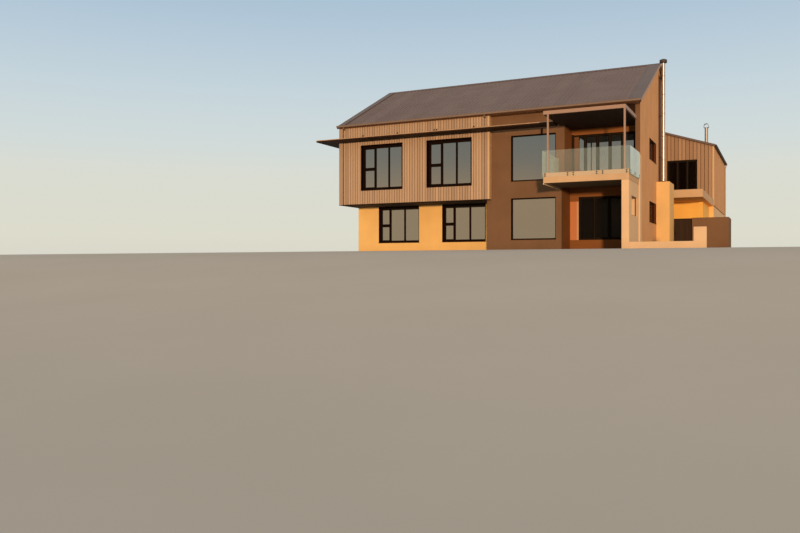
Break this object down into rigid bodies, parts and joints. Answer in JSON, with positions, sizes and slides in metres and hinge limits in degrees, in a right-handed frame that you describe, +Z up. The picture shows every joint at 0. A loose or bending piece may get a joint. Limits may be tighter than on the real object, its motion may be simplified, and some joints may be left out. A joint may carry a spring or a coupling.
{
  "type": "beach house",
  "caption": "Two-storey beach house with a pitched metal roof, clad upper box, covered glass balcony, rear wing, roof terrace, flues and a hinged yard gate.",
  "frame": {"origin": "under the middle of the house, at the lowest ground that its walls reach", "axes": "+X to the right seen from the seaward front, +Y away from that front, +Z up"},
  "size_m": [20.66, 29.158, 10.48],
  "materials": {
    "brown_plaster": "matt painted plaster",
    "cream_plaster": "matt painted plaster",
    "board_cladding": "painted vertical boards",
    "concrete": "painted concrete",
    "roof_sheet": "satin painted sheet",
    "dark_metal": "satin dark paint",
    "portal_paint": "satin brown paint",
    "flue_steel": "bright stainless sheet",
    "clear_glass": "clear",
    "gate_timber": "dark stained boards"
  },
  "bodies": {
    "house": {"box_soffit": "brown_plaster", "plastered_front": "brown_plaster", "recess_walls": "brown_plaster", "right_gable": "brown_plaster", "rear_wall": "brown_plaster", "rear_step_walls": "brown_plaster", "yard_wall": "brown_plaster", "lower_front_wall": "cream_plaster", "left_lower_wall": "cream_plaster", "balcony_wall": "cream_plaster", "chimney_block": "cream_plaster", "terrace_room": "cream_plaster", "low_wall": "cream_plaster", "clad_box": "board_cladding", "left_gable": "board_cladding", "wing_front_wall": "board_cladding", "wing_side_walls": "board_cladding", "wing_rear_wall": "board_cladding", "ground_floor": "concrete", "upper_floor": "concrete", "wing_floors": "concrete", "balcony_slab": "concrete", "terrace_slab": "concrete", "front_roof": "roof_sheet", "rear_roof": "roof_sheet", "roof_flashings": "roof_sheet", "gutters": "roof_sheet", "wing_roof": "roof_sheet", "balcony_ceiling": "dark_metal", "glass_clamps": "dark_metal", "canopy": "dark_metal", "flue_cap": "dark_metal", "front_windows": "dark_metal", "picture_windows": "dark_metal", "side_windows": "dark_metal", "rear_windows": "dark_metal", "recess_doors": "dark_metal", "terrace_door": "dark_metal", "portal_frame": "portal_paint", "flue": "flue_steel", "wing_flue": "flue_steel", "balustrade_glass": "clear_glass", "window_glass": "clear_glass", "door_glass": "clear_glass"},
    "gate": {"yard_gate": "gate_timber"}
  },
  "joints": [
    {"name": "gate_hinge", "type": "hinge", "parent": "house", "child": "gate", "pos_m": [8.495, -4.441, 0.5], "axis": [0, 0, 1], "range_deg": [-90, 0]}
  ]
}
